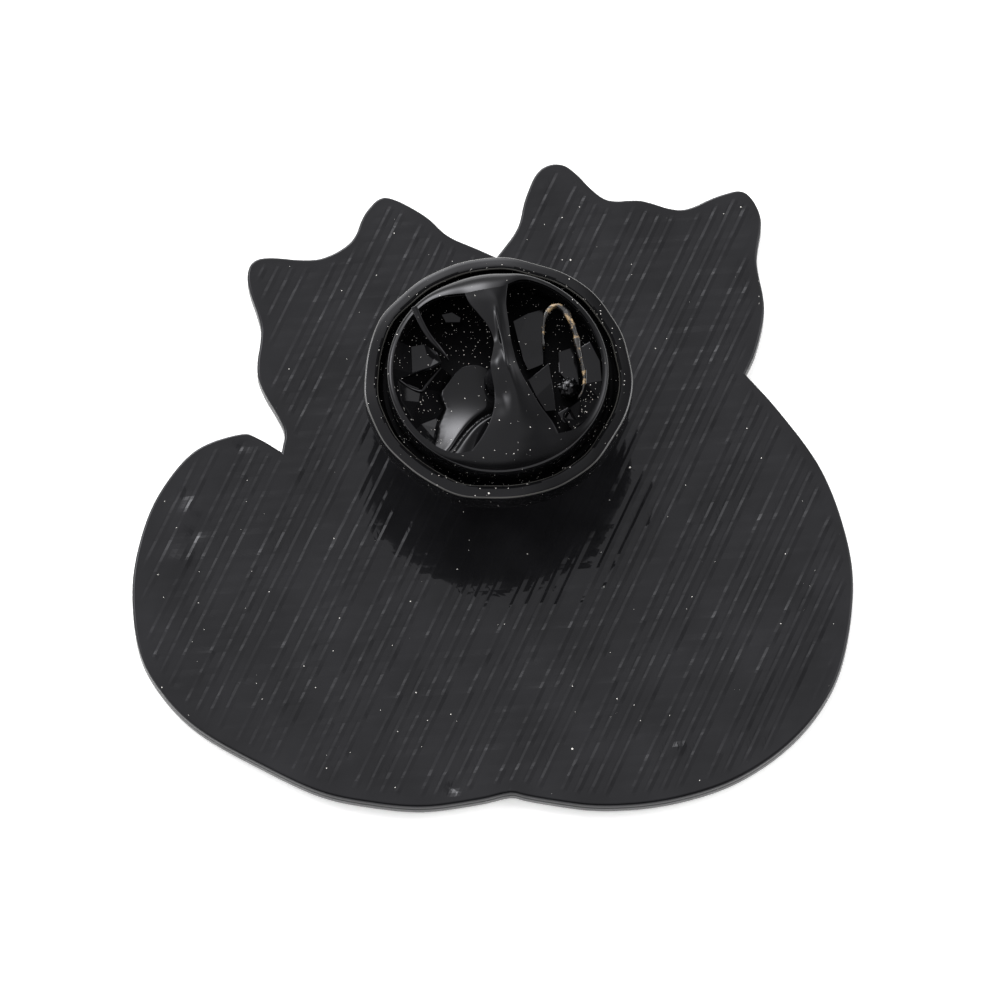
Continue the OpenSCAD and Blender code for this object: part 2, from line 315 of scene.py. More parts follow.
class Nodes:
    """A node material with a short way to add and join nodes."""

    def __init__(self, name):
        self.material = bpy.data.materials.new(name)
        self.material.use_nodes = True
        self.tree = self.material.node_tree
        self.shader = self.tree.nodes["Principled BSDF"]
        self.place = self.add("ShaderNodeTexCoord").outputs["Object"]

    def add(self, kind, inputs=None, **facts):
        return add_node(self.tree, kind, inputs, **facts)

    def set(self, socket, value):
        put(self.tree, socket, value)

    def noise(self, scale, detail=3, rough=0.5):
        """Noise with scale features per millimetre."""
        return self.add("ShaderNodeTexNoise", {
            "Vector": self.place, "Scale": scale / MM, "Detail": detail, "Roughness": rough}).outputs["Fac"]

    def math(self, operation, a, b=0.0, c=0.0):
        return self.add("ShaderNodeMath", {0: a, 1: b, 2: c}, operation=operation).outputs[0]

    def scaled(self, value, low, high, to_low, to_high):
        return self.add("ShaderNodeMapRange", {
            "Value": value, "From Min": low, "From Max": high,
            "To Min": to_low, "To Max": to_high}).outputs["Result"]

    def mix(self, share, a, b):
        node = self.add("ShaderNodeMix", data_type="RGBA")
        self.set(node.inputs["Factor"], share)
        self.set(node.inputs[6], a)
        self.set(node.inputs[7], b)
        return node.outputs[2]

    def specks(self, per_mm, share, size):
        """1 on small round specks: a share of the cells of a Voronoi pattern have one."""
        cells = self.add("ShaderNodeTexVoronoi", {"Vector": self.place, "Scale": per_mm / MM, "Randomness": 1.0})
        tone = self.add("ShaderNodeSeparateColor", {"Color": cells.outputs["Color"]})
        reach = self.math("MULTIPLY", tone.outputs["Green"], size * per_mm)
        near = self.math("LESS_THAN", cells.outputs["Distance"], reach)
        return self.math("MULTIPLY", near, self.math("LESS_THAN", tone.outputs["Red"], share))

    def bump(self, height, strength, distance_mm, under=None):
        facts = {"Strength": strength, "Distance": distance_mm * MM, "Height": height}
        if under is not None:
            facts["Normal"] = under
        return self.add("ShaderNodeBump", facts).outputs["Normal"]

    def finish(self, colour, roughness, normal=None, **sockets):
        self.set(self.shader.inputs["Base Color"], colour)
        self.set(self.shader.inputs["Roughness"], roughness)
        if normal is not None:
            self.set(self.shader.inputs["Normal"], normal)
        for key, value in sockets.items():
            self.shader.inputs[key.replace("_", " ")].default_value = value
        return self.material


DUST_COLOUR = (0.62, 0.60, 0.57, 1)
HAZE_LIFT = 1.7  # how much lighter the plating is where it is hazy


def black_plating(name, base, gloss, roughness, ripple, dust):
    """Glossy black plating, with a faint ripple, polish haze, tiny pits and pale specks of dust.
    dust is a list of (specks per mm, share of cells with one, size in mm)."""
    m = Nodes(name)
    haze = m.noise(0.35, 4)
    fine = m.noise(6.0, 2)
    mask = 0.0
    for per_mm, share, size in dust:
        mask = m.math("MAXIMUM", mask, m.specks(per_mm, share, size))
    tone = m.mix(m.scaled(haze, 0.35, 0.7, 0, 1), (*base, 1), (*[c * HAZE_LIFT for c in base], 1))
    colour = m.mix(mask, tone, DUST_COLOUR)
    low, high = roughness
    polish = m.math("ADD", m.scaled(haze, 0.3, 0.7, low, high), m.scaled(fine, 0.4, 0.8, 0, 0.03))
    rough = m.math("MAXIMUM", polish, m.math("MULTIPLY", mask, 0.6))
    pits = m.specks(2.2, 0.10, 0.05)
    normal = m.bump(m.noise(1.1, 2), ripple, 0.012)
    normal = m.bump(m.math("SUBTRACT", mask, pits), 0.35, 0.008, normal)
    return m.finish(colour, rough, normal, Specular_IOR_Level=gloss, Specular_Tint=(0.95, 0.95, 1.0, 1.0))


def worn_edge():
    """Black plating rubbed through to the brass in streaks."""
    m = Nodes("clutch_worn")
    streak = m.scaled(m.noise(1.6, 4, 0.7), 0.54, 0.62, 0, 1)
    grain = m.scaled(m.noise(12, 2), 0.3, 0.7, 0.35, 1)
    colour = m.mix(m.math("MULTIPLY", streak, grain), (0.012, 0.011, 0.011, 1), (0.42, 0.29, 0.15, 1))
    return m.finish(colour, m.scaled(streak, 0, 1, 0.22, 0.4), m.bump(m.noise(9, 2), 0.5, 0.02),
                    Specular_IOR_Level=0.6)


def enamel_paint(name, base, shade):
    """Soft enamel: opaque glossy colour with slight clouding, tiny bubbles and a clear coat."""
    m = Nodes(name)
    cloud = m.scaled(m.noise(0.6, 4), 0.3, 0.7, 0, 1)
    colour = m.mix(cloud, (*base, 1), (*shade, 1))
    bubble = m.specks(1.6, 0.07, 0.05)
    rough = m.scaled(m.noise(2.5, 3), 0.3, 0.7, 0.16, 0.26)
    normal = m.bump(m.noise(0.9, 2), 0.25, 0.01)
    normal = m.bump(bubble, 0.3, 0.01, normal)
    return m.finish(colour, rough, normal, Coat_Weight=0.6, Coat_Roughness=0.06)


BACK_BLACK = black_plating("badge_plating", (0.0062, 0.0062, 0.0069), 0.215, (0.03, 0.06), 0.09,
                           [(4.0, 0.10, 0.028), (1.6, 0.08, 0.050)])
CLUTCH_BLACK = black_plating("clutch_plating", (0.0030, 0.0030, 0.0033), 0.18, (0.02, 0.04), 0.05,
                             [(6.0, 0.34, 0.024), (2.4, 0.16, 0.045)])
# Painted shade: near-black and barely glossy, for the inside of the cup, the low parts of the spring and the dark
# leaves
INSIDE_PAINTED_SHADE = black_plating("clutch_inside_painted_shade", (0.0010, 0.0010, 0.0012), 0.03, (0.45, 0.6), 0.2,
                             [(10.0, 0.60, 0.022), (4.0, 0.25, 0.034)])
LEAF_BLACK = black_plating("clutch_leaf", (0.0030, 0.0030, 0.0033), 0.20, (0.05, 0.09), 0.08,
                           [(7.0, 0.30, 0.022)])
# Painted reflection: a lighter grey on the lower part of the badge's edge, standing in for the pale floor it reflects
LIP_PAINTED_REFLECTION = black_plating("badge_lip_painted_reflection", (0.085, 0.085, 0.082), 0.9, (0.12, 0.2), 0.10, [(4.0, 0.20, 0.030)])
WORN_BLACK = worn_edge()
# Painted highlight: a lighter grey for the thin lines along the rim's two edges
RIM_PAINTED_HIGHLIGHT = black_plating("clutch_rim_painted_highlight", (0.042, 0.041, 0.038), 0.6, (0.10, 0.18), 0.10, [(5.0, 0.25, 0.026)])
ENAMEL = {name: enamel_paint(name, base, shade) for name, base, shade in [
    ("enamel_orange", (0.66, 0.18, 0.022), (0.58, 0.145, 0.015)),
    ("enamel_grey", (0.120, 0.160, 0.215), (0.095, 0.130, 0.18)),
    ("enamel_white", (0.74, 0.73, 0.70), (0.68, 0.67, 0.63)),
    ("enamel_cream", (0.70, 0.59, 0.40), (0.64, 0.53, 0.34)),
    ("enamel_pink", (0.66, 0.23, 0.26), (0.60, 0.19, 0.22)),
    ("enamel_brown", (0.13, 0.042, 0.013), (0.10, 0.031, 0.009))]}


# -------- badge body

SLOT_OF = {s["node"]: s["material_slot"] for s in frame["record"]["subparts"]}
ENAMELS = [n for n, s in SLOT_OF.items() if s in ENAMEL]

# Cutter marks on the back: two sets of parallel ridges, in groups of four.
MARK_GAPS = [0.57, 0.57, 0.57, 0.99]
MARK_ANGLES = (66.4, 4.4)  # degrees from +X
STEEP_RIDGE, FLAT_RIDGE = 0.0090, 0.0012  # heights of the two sets of ridges
BRIGHT_FLANK, DARK_FLANK = 0.115, 0.17  # widths of the two sides of a ridge
TILT = 0.017  # largest slope of a facet between the marks
FACET_STEP = 0.0010  # spread of the facets' heights
MARK_SHIFT = 0.007  # how far the marks wander sideways
# Five grid lines to a mark: its ridge, the foot of its dark flank, two across the facet, the next bright flank's foot
RIDGE, DARK_FOOT, FACET_FAR, BRIGHT_FOOT = 0, 1, 3, 4
LINES_A_MARK = 5
FACET_LINES = (0.42, 0.68)  # places of the two facet lines, as shares of the gap
CLEAR_OF_EDGE = 0.2  # no grid points closer than this to the outline
MARKS_FADE = (0.32, 0.62)  # the marks fade in over these distances from the outline
# Dents and bumps: x, y, radius, height
DENTS = [(-13.2, -4.1, 0.55, 0.05), (-13.6, -6.3, 0.7, 0.06), (-12.9, -5.0, 0.5, -0.05), (7.6, -15.1, 0.28, 0.05),
         (-13.3, -3.2, 0.3, -0.03), (-1.9, -16.9, 0.3, -0.08), (-10.9, -0.9, 0.4, -0.04), (11.4, 6.6, 0.25, 0.03)]


def mark_lines(low, high):
    """Positions of the marks of one set, measured square across them."""
    lines, at = [], low
    k = 0
    while at < high:
        lines.append(at)
        at += MARK_GAPS[k % len(MARK_GAPS)]
        k += 1
    return np.array(lines)


def back_points(outline):
    """Points of the back face with the cutter marks, kept clear of its rounded edge."""
    ang = [math.radians(a) for a in MARK_ANGLES]
    across = np.array([[math.sin(ang[0]), -math.cos(ang[0])], [-math.sin(ang[1]), math.cos(ang[1])]])
    reach = float(np.abs(outline).max()) * 1.3
    lines = [mark_lines(-reach, reach) for _ in range(2)]
    grids, cells = [], []
    for set_lines in lines:
        pos, cell = [], []
        for i, line in enumerate(set_lines[:-1]):
            gap = set_lines[i + 1] - line
            pos += [line, line + DARK_FLANK, line + FACET_LINES[0] * gap, line + FACET_LINES[1] * gap,
                    line + gap - BRIGHT_FLANK]
            cell += [i] * LINES_A_MARK
        grids.append(np.array(pos))
        cells.append(np.array(cell))
    # a point with distances (s, t) across the two sets
    s, t = np.meshgrid(grids[0], grids[1], indexing="ij")
    ci, cj = np.meshgrid(cells[0], cells[1], indexing="ij")
    part_i = np.tile(np.arange(LINES_A_MARK), len(lines[0]) - 1)
    part_j = np.tile(np.arange(LINES_A_MARK), len(lines[1]) - 1)
    pi, pj = np.meshgrid(part_i, part_j, indexing="ij")
    ni, nj = len(lines[0]), len(lines[1])
    shift = rng.normal(0, MARK_SHIFT, (ni, nj))
    s = s + shift[ci, cj] * np.where(np.isin(pi, (RIDGE, DARK_FOOT, BRIGHT_FOOT)), 1, 0.4)
    solve = np.linalg.inv(across)
    xy = np.stack([s, t], -1) @ solve.T
    # each facet lies at its own height and tilt
    level = rng.normal(0, FACET_STEP, (ni, nj)) + rng.normal(0, FACET_STEP, (ni, 1))
    slope_s = rng.uniform(-TILT, TILT, (ni, nj)) * 0.25 + rng.uniform(-TILT, TILT, (1, nj))
    slope_t = rng.uniform(-TILT, TILT, (ni, nj)) * 0.25 + rng.uniform(-TILT, TILT, (ni, 1))
    mid_s = (lines[0][:-1] + lines[0][1:]) / 2
    mid_t = (lines[1][:-1] + lines[1][1:]) / 2

    def facet(i, j):
        i, j = np.clip(i, 0, ni - 2), np.clip(j, 0, nj - 2)
        return level[i, j] + slope_s[i, j] * (s - mid_s[i]) + slope_t[i, j] * (t - mid_t[j])

    here, left, below, corner = facet(ci, cj), facet(ci - 1, cj), facet(ci, cj - 1), facet(ci - 1, cj - 1)
    on_i, on_j = pi == RIDGE, pj == RIDGE
    z = np.where(on_i & on_j, (here + left + below + corner) / 4,
                 np.where(on_i, (here + left) / 2, np.where(on_j, (here + below) / 2, here)))
    ridge_i = rng.uniform(0.75, 1.2, (ni, nj)) * STEEP_RIDGE
    ridge_j = rng.uniform(0.1, 1.4, (ni, nj)) * FLAT_RIDGE
    z = z + np.where(on_i, ridge_i[ci, cj], 0) + np.where(on_j, ridge_j[ci, cj], 0)
    z = z - np.where(pi == BRIGHT_FOOT, 0.35 * ridge_i[ci, cj], 0)
    index = np.arange(z.size).reshape(z.shape)
    along_ridge = np.stack([index[:, :-1], index[:, 1:]], -1)[part_i != FACET_FAR].reshape(-1, 2)
    xy, z = xy.reshape(-1, 2), z.reshape(-1)
    keep = (np.abs(xy[:, 0]) < np.abs(outline[:, 0]).max()) & (xy[:, 1] > outline[:, 1].min()) \
        & (xy[:, 1] < outline[:, 1].max())
    keep[keep] = inside(xy[keep], [outline])
    edge = np.zeros(len(xy))
    edge[keep] = distance(xy[keep], [outline])
    keep &= edge > CLEAR_OF_EDGE
    number = np.cumsum(keep) - 1
    both = keep[along_ridge].all(1)
    lines = number[along_ridge[both]]
    xy, z, edge = xy[keep], z[keep], edge[keep]
    z = z * smoothstep(edge, *MARKS_FADE)
    for x, y, r, h in DENTS:
        d2 = ((xy - (x, y)) ** 2).sum(1) / r ** 2
        z = z + h * np.exp(-d2 * 1.6) * smoothstep(edge, 0.15, 0.4)
    z = z + 0.02 * np.sin(xy[:, 0] * 0.31 + 1) * np.sin(xy[:, 1] * 0.27 + 2) * smoothstep(edge, 0.3, 3)
    return np.column_stack([xy, BACK_Z + z]), lines


outline = smooth_loop(flat_loops("badge_body", BACK_Z)[0], 3)
pockets = {n: [smooth_loop(p, 3) for p in flat_loops(n, ENAMEL_Z)] for n in ENAMELS}

body = Shape()
# Edge of the badge, back face first: inset from the outline, depth below the back face
SIDE = [(0.10, 0.0), (0.07, 0.010), (0.015, 0.062), (0.0, 0.11), (0.03, 0.30), (0.045, 0.50), (0.03, 0.53),
        (0.0, 0.57), (0.012, 0.64), (0.035, 0.74), (0.07, 0.79), (0.13, 0.8)]
LIP_START = 5  # the row of the profile where the lip with a painted reflection of the floor starts
side_scale = (BACK_Z - FRONT_Z) / SIDE[-1][1]
rows = [body.ring(offset(outline, d), BACK_Z - depth * side_scale) for d, depth in SIDE]
for a, b in zip(rows, rows[1:]):
    body.wall(b, a)
points, lines = back_points(outline)
body.cap([rows[0]], points, lines=lines)
front_rows = [rows[-1]]
for loops in pockets.values():
    for k, loop in enumerate(loops):
        out = -1 if k == 0 else 1  # towards the metal
        steps = [(0.045, FRONT_Z), (0.018, FRONT_Z + 0.012), (0.0, FRONT_Z + 0.045), (0.0, POCKET_Z)]
        wall = [body.ring(offset(loop, out * d), z) for d, z in steps]
        body.walls(wall)
        front_rows.append(wall[0])
        loops[k] = (loop, wall[-1])
    body.cap([w for _, w in loops], up=False)
body.cap(front_rows, up=False)
badge = body.build("badge_shell", BACK_BLACK)
badge.data.materials.append(LIP_PAINTED_REFLECTION)
for poly in badge.data.polygons:
    if poly.normal.z > 0.9 and poly.center.z / MM > BACK_Z - 0.1:
        poly.use_smooth = False
lip_faces = range(len(outline) * LIP_START, len(outline) * (len(SIDE) - 1))
# the lower part of the edge gets the painted floor reflection
for k in lip_faces:
    badge.data.polygons[k].material_index = 1
finish_piece(badge, "badge", ["badge_body"])


# -------- enamel

MENISCUS = 0.05  # height to which the enamel wets the metal
WIDE_GRID, NARROW_GRID = 0.22, 0.11  # spacing of the points in wide and in narrow fills
WIDE_FILL = 5  # a fill longer than this counts as wide


def enamel_piece(node, loops):
    """An enamel fill that rises a little where it wets the metal lines."""
    loops = [loop for loop, _ in loops]
    shape = Shape()
    floor_rows, top_rows = [], []
    for loop in loops:
        floor_rows.append(shape.ring(loop, POCKET_Z))
        top_rows.append(shape.ring(loop, ENAMEL_Z - MENISCUS))
        shape.wall(top_rows[-1], floor_rows[-1])
    low, high = loops[0].min(0), loops[0].max(0)
    step = WIDE_GRID if (high - low).max() > WIDE_FILL else NARROW_GRID
    x, y = np.meshgrid(np.arange(low[0], high[0], step), np.arange(low[1], high[1], step))
    x = x + (np.arange(x.shape[0]) % 2)[:, None] * step / 2
    grid = np.column_stack([x.ravel(), y.ravel()])
    grid = grid[inside(grid, loops)]
    edge = distance(grid, loops)
    grid, edge = grid[edge > 0.13], edge[edge > 0.13]
    near = []
    for k, loop in enumerate(loops):
        for d in (0.035, 0.085):
            ring = offset(split_long(loop, 0.15), d if k == 0 else -d)
            ring = ring[inside(ring, loops)]
            away = distance(ring, loops)
            near.append(ring[away > 0.9 * d])
    near = np.vstack(near)
    points = np.vstack([near, grid])
    edge = np.concatenate([distance(near, loops), edge])
    rise = MENISCUS * np.exp(-edge / 0.07) - 0.012 * smoothstep(edge, 0.3, 2.0)
    wave = 0.004 * np.sin(points[:, 0] * 1.7) * np.sin(points[:, 1] * 1.3)
    z = ENAMEL_Z - rise + wave * smoothstep(edge, 0.1, 0.6)
    shape.cap(top_rows, np.column_stack([points, z]), up=False)
    shape.cap(floor_rows, up=True)
    slot = SLOT_OF[node]
    finish_piece(shape.build(node + "_enamel", ENAMEL[slot]), "badge", [node])


for node, loops in pockets.items():
    enamel_piece(node, loops)


# -------- turned pieces

def turned(profile, sides, wobble=None, closed=True):
    """A solid of revolution about the post's axis through (radius, height) points."""
    shape = Shape()
    angles = np.linspace(0, 2 * math.pi, sides, endpoint=False)
    rings = []
    for k, (r, z) in enumerate(profile):
        points = []
        for a in angles:
            dr, dz = wobble(k / len(profile), a, r, z) if wobble else (0, 0)
            points.append(((r + dr) * math.cos(a), (r + dr) * math.sin(a), z + dz))
        rings.append(shape.add(points))
    shape.walls(rings)
    if closed:
        shape.wall(rings[-1], rings[0])
    return shape, rings


def rounded(points, steps=4, share=0.35):
    """The corners of an open line of (r, z) points rounded off."""
    points = np.array(points, float)
    out = [points[0]]
    for a, b, c in zip(points, points[1:], points[2:]):
        p, q = b + (a - b) * share, b + (c - b) * share
        for t in np.linspace(0, 1, steps):
            out.append((1 - t) ** 2 * p + 2 * t * (1 - t) * b + t * t * q)
    out.append(points[-1])
    return out


POST_GROOVE = 0.17  # depth of the two grooves
POST_SIDES, WELD_SIDES, CUP_SIDES = 48, 64, 192
post_r, post_top = POST_HIGH[0], POST_HIGH[2]
groove = post_r - POST_GROOVE
post_line = rounded([
    (post_r, 0.0), (post_r, 3.02), (groove, 3.1), (groove, 3.5), (post_r, 3.58), (post_r, 3.97), (groove, 4.05),
    (groove, 4.45), (post_r, 4.53), (post_r, 4.85), (0.3, post_top - 0.3), (0.045, post_top - 0.02)])
shape, rings = turned(post_line, POST_SIDES, closed=False)
for ring, z in ((rings[0], 0.0), (rings[-1], post_top)):
    shape.fan(ring, (0, 0, z))
finish_piece(shape.build("post_turned", BACK_BLACK), "badge", ["post"])


def weld_wobble(share, a, r, z):
    out = smoothstep(r, post_r, FILLET_HIGH[0])
    return 0.08 * out * math.sin(3 * a + 1) + 0.04 * out * math.sin(7 * a), 0


weld_r = FILLET_HIGH[0] - 0.1
shape, _ = turned([(post_r - 0.02, 0.0), (post_r - 0.02, 0.178), (post_r + 0.1, 0.165), (post_r + 0.25, 0.11),
                       (weld_r - 0.15, 0.045), (weld_r, 0.012), (weld_r + 0.01, 0.0)], WELD_SIDES, weld_wobble)
finish_piece(shape.build("weld", BACK_BLACK), "badge", ["weld_fillet"])


# -------- clutch cup

def cup_wobble(share, a, r, z):
    """The rolled rim isn't quite round: it has a few soft flats from the roller."""
    outer = smoothstep(r, 4.4, 5.2)
    flats = 0.035 * math.cos(7 * a + 0.6) + 0.02 * math.cos(11 * a + 2.0) + 0.012 * math.cos(17 * a)
    high = smoothstep(z - CUP_Z, 0.7, 1.4) * outer
    return outer * (flats - 0.05), high * (0.02 * math.cos(5 * a + 1) + 0.012 * math.cos(9 * a))


def arc_line(cx, cz, r, a0, a1, n):
    return [(cx + r * math.cos(math.radians(a)), cz + r * math.sin(math.radians(a)))
            for a in np.linspace(a0, a1, n)]


cup_h = CUP_HIGH[2] - CUP_Z
sheet = 0.35
guide_r = 0.8
cup_line = (
    [(guide_r, 0.22), (guide_r + 0.06, 0.10), (guide_r + 0.18, 0.03), (guide_r + 0.35, 0.0), (2.4, 0.0), (4.2, 0.0)]
    + arc_line(CUP_R - 0.6, 0.6, 0.6, -90, 0, 9)
    + [(CUP_R, 0.8), (CUP_R, 1.0)]
    + arc_line(CUP_R - 0.10, cup_h - 0.155, 0.10, 0, 84, 6)
    + [(CUP_R - 0.2, cup_h - 0.043), (CUP_R - 0.32, cup_h - 0.03), (CUP_R - 0.42, cup_h - 0.02)]
    + arc_line(CUP_R - 0.50, cup_h - 0.125, 0.11, 84, 200, 8)
    + [(CUP_R - 0.5, cup_h - 0.34), (CUP_R - sheet, cup_h - 0.42), (CUP_R - sheet, 0.75)]
    + arc_line(CUP_R - sheet - 0.3, sheet + 0.3, 0.3, 0, -90, 6)
    + [(4.2, sheet), (3.4, sheet), (2.4, sheet + 0.02), (1.6, sheet + 0.05), (guide_r + 0.3, sheet + 0.07),
       (guide_r + 0.12, sheet + 0.1), (guide_r + 0.03, sheet + 0.17), (guide_r, sheet + 0.1)])
shape, _ = turned([(r, z + CUP_Z) for r, z in cup_line], CUP_SIDES, cup_wobble)
RIM_DEPTH = 0.2  # the rim's top, down from its highest point
RIM_SLOPES = (0.45, 0.93)  # how level the rim is along its two edges
cup = shape.build("cup", CLUTCH_BLACK)
cup.data.materials.append(INSIDE_PAINTED_SHADE)
cup.data.materials.append(RIM_PAINTED_HIGHLIGHT)
for poly in cup.data.polygons:
    x, y, z = poly.center / MM
    slope = abs(poly.normal.z)
    if z > CUP_Z + cup_h - RIM_DEPTH and RIM_SLOPES[0] < slope < RIM_SLOPES[1]:
        poly.material_index = 2  # painted highlight lines along the two edges of the rim
    elif math.hypot(x, y) < CUP_R - 0.5 and z > CUP_Z + 0.3:
        # the inside of the cup gets the painted shade
        poly.material_index = 1
finish_piece(cup, "clutch", ["clutch_cup"])


# -------- spring

def curve_at(points, t):
    """Catmull-Rom curve through rows of points, at t from 0 to 1."""
    points = np.asarray(points, float)
    n = len(points) - 1
    x = np.clip(np.asarray(t, float) * n, 0, n - 1e-9)
    i = x.astype(int)
    f = (x - i)[:, None]
    p1, p2 = points[i], points[i + 1]
    p0 = np.where((i > 0)[:, None], points[np.maximum(i - 1, 0)], 2 * p1 - p2)
    p3 = np.where((i < n - 1)[:, None], points[np.minimum(i + 2, n)], 2 * p2 - p1)
    return catmull(p0, p1, p2, p3, f)


def net_surface(net, rows, cols):
    """A smooth surface through a net of control points, as rows x cols points."""
    net = np.asarray(net, float)
    along = np.stack([curve_at(net[:, k], np.linspace(0, 1, rows)) for k in range(net.shape[1])], 1)
    return np.stack([curve_at(along[i], np.linspace(0, 1, cols)) for i in range(rows)])


RING_R = 4.7  # outside of the spring's ring
CROWN_TURN = math.radians(80)
CROWN_REACH = (0.22, 1.05)  # least and greatest radius of the crown
CROWN_RISE = 0.8  # its height as a share of that radius
CROWN_STEPS = 9
BRIDGE_ROWS, BRIDGE_COLS = 81, 41
# Inner edge of the ring: angle, radius, height above the underside of the cup
RING_EDGE = np.array([
    (-180, 4.47, 2.27), (-150, 4.47, 2.27), (-128, 4.46, 2.27), (-116, 4.40, 2.28), (-110, 4.22, 2.31),
    (-106, 3.95, 2.36), (-95, 3.85, 2.42), (-77, 3.80, 2.46), (-60, 3.82, 2.42), (-50, 3.92, 2.34),
    (-46, 4.12, 2.30), (-40, 4.36, 2.27), (-30, 4.44, 2.26), (0, 4.46, 2.26), (40, 4.44, 2.26), (62, 4.46, 2.26),
    (76, 4.42, 2.28), (81, 4.20, 2.40), (84, 3.80, 2.52), (98, 3.65, 2.60), (112, 3.70, 2.54), (118, 3.95, 2.40),
    (125, 4.20, 2.32), (133, 4.38, 2.28), (146, 4.46, 2.27), (180, 4.47, 2.27)])
NEAR, FAR = (-106, -50), (112, 84)
# The bridge's plan and height, near end first: left edge, left flank, crest, right flank, right edge
BRIDGE_NET = [
    [(-0.68, -3.25, 2.42), (0.10, -3.20, 2.50), (0.80, -3.15, 2.54), (1.60, -2.95, 2.51), (2.28, -2.50, 2.42)],
    [(-0.32, -2.50, 2.46), (0.22, -2.45, 2.53), (0.76, -2.40, 2.60), (1.30, -2.25, 2.57), (1.85, -1.90, 2.48)],
    [(-0.15, -1.80, 2.46), (0.24, -1.78, 2.51), (0.70, -1.75, 2.64), (1.10, -1.60, 2.62), (1.52, -1.35, 2.54)],
    [(-0.14, -1.15, 2.44), (0.18, -1.15, 2.52), (0.58, -1.10, 2.69), (0.90, -1.00, 2.68), (1.24, -0.85, 2.60)],
    [(-0.24, -0.50, 2.53), (0.08, -0.50, 2.72), (0.48, -0.50, 2.79), (0.74, -0.45, 2.74), (0.99, -0.38, 2.66)],
    [(-0.32, 0.10, 2.62), (0.00, 0.10, 2.80), (0.36, 0.12, 2.86), (0.59, 0.14, 2.79), (0.79, 0.16, 2.69)],
    [(-0.22, 0.65, 2.60), (0.03, 0.66, 2.74), (0.26, 0.68, 2.82), (0.48, 0.69, 2.76), (0.66, 0.70, 2.66)],
    [(-0.18, 1.25, 2.50), (0.0, 1.27, 2.60), (0.16, 1.28, 2.74), (0.36, 1.29, 2.69), (0.54, 1.30, 2.60)],
    [(-0.42, 1.90, 2.56), (-0.16, 1.92, 2.60), (0.04, 1.94, 2.68), (0.26, 1.95, 2.64), (0.46, 1.96, 2.57)],
    [(-0.85, 2.50, 2.58), (-0.42, 2.52, 2.61), (-0.10, 2.54, 2.65), (0.16, 2.55, 2.63), (0.38, 2.56, 2.56)],
    [(-1.22, 3.00, 2.56), (-0.62, 3.05, 2.61), (-0.13, 3.10, 2.63), (0.12, 3.10, 2.60), (0.34, 3.10, 2.54)],
]
# A thin crease along the left of the bridge's crest: x, y
STREAK = np.array([(0.42, -0.4), (0.33, 0.15), (0.26, 0.6), (0.14, 1.2), (0.02, 1.8), (-0.08, 2.4), (-0.16, 2.9)])


def ring_edge(angle):
    """Radius and height of the ring's inner edge, with the corners of the table rounded off."""
    a = (np.asarray(angle, float)[:, None] + np.linspace(-9, 9, 19) + 180) % 360 - 180
    weight = np.exp(-(np.linspace(-9, 9, 19) / 3.5) ** 2 / 2)
    return [np.interp(a, RING_EDGE[:, 0], RING_EDGE[:, k]) @ weight / weight.sum() for k in (1, 2)]


